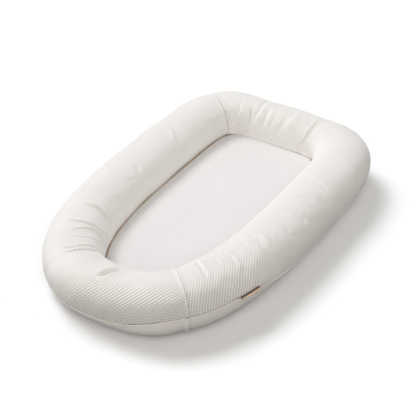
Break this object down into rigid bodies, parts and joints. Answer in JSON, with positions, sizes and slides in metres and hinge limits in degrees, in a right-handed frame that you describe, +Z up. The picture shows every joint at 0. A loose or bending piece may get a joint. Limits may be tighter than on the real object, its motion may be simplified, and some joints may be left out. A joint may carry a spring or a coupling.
{
  "type": "infant lounger",
  "caption": "Egg-shaped infant lounger: a padded ring bolster with a knit cover round a flat mattress, zipped underneath.",
  "frame": {"origin": "on the floor, under the middle of the lounger's overall length and width", "axes": "+Y towards the squarer head end, +X to the right seen from the foot, +Z up"},
  "size_m": [0.55, 0.8999, 0.125],
  "materials": {
    "cover_knit": "white rib-and-dot knit with a thin backing, matt",
    "band_cloth": "plain smooth cotton, off-white",
    "sheet_cloth": "plain smooth cotton drawn flat, warm white",
    "base_cloth": "plain cotton base cloth, off-white",
    "lining": "thin plain lining",
    "roll_wadding": "polyester wadding in its casing",
    "pad_wadding": "polyester wadding pad in its casing",
    "seam_thread": "tan seam cord",
    "crease_piping": "brown-tan piping",
    "label_tape": "brown woven loop label with a tan edge, bare",
    "zip_tape": "cream woven zip tape",
    "zip_chain": "cream moulded teeth on their core",
    "zip_metal": "plain nickel-grey metal"
  },
  "bodies": {
    "lounger": {"bolster_cover_foot": "cover_knit", "bolster_cover_right": "cover_knit", "bolster_cover_head": "cover_knit", "bolster_cover_left": "cover_knit", "base_band_foot": "band_cloth", "base_band_right": "band_cloth", "base_band_head": "band_cloth", "base_band_left": "band_cloth", "mattress_top_sheet": "sheet_cloth", "base_cloth_head": "base_cloth", "base_cloth_foot": "base_cloth", "channel_wall": "lining", "bolster_roll": "roll_wadding", "mattress_pad": "pad_wadding", "outer_seam_cord": "seam_thread", "crease_piping": "crease_piping", "loop_label": "label_tape", "zip_tape_head": "zip_tape", "zip_tape_foot": "zip_tape", "zip_chain_head": "zip_chain", "zip_chain_foot": "zip_chain", "zip_bottom_stop": "zip_metal", "zip_top_stop_head": "zip_metal", "zip_top_stop_foot": "zip_metal"},
    "zip_slider": {"zip_slider": "zip_metal"},
    "zip_pull": {"zip_pull": "zip_metal"}
  },
  "joints": [
    {"name": "zip_slide", "type": "slide", "parent": "lounger", "child": "zip_slider", "axis": [-1, 0, 0], "range_m": [0, 0.219]},
    {"name": "pull_hinge", "type": "hinge", "parent": "zip_slider", "child": "zip_pull", "pos_m": [0.1204, 0.19, 0.00275], "axis": [0, -1, 0], "range_deg": [0, 160]}
  ]
}
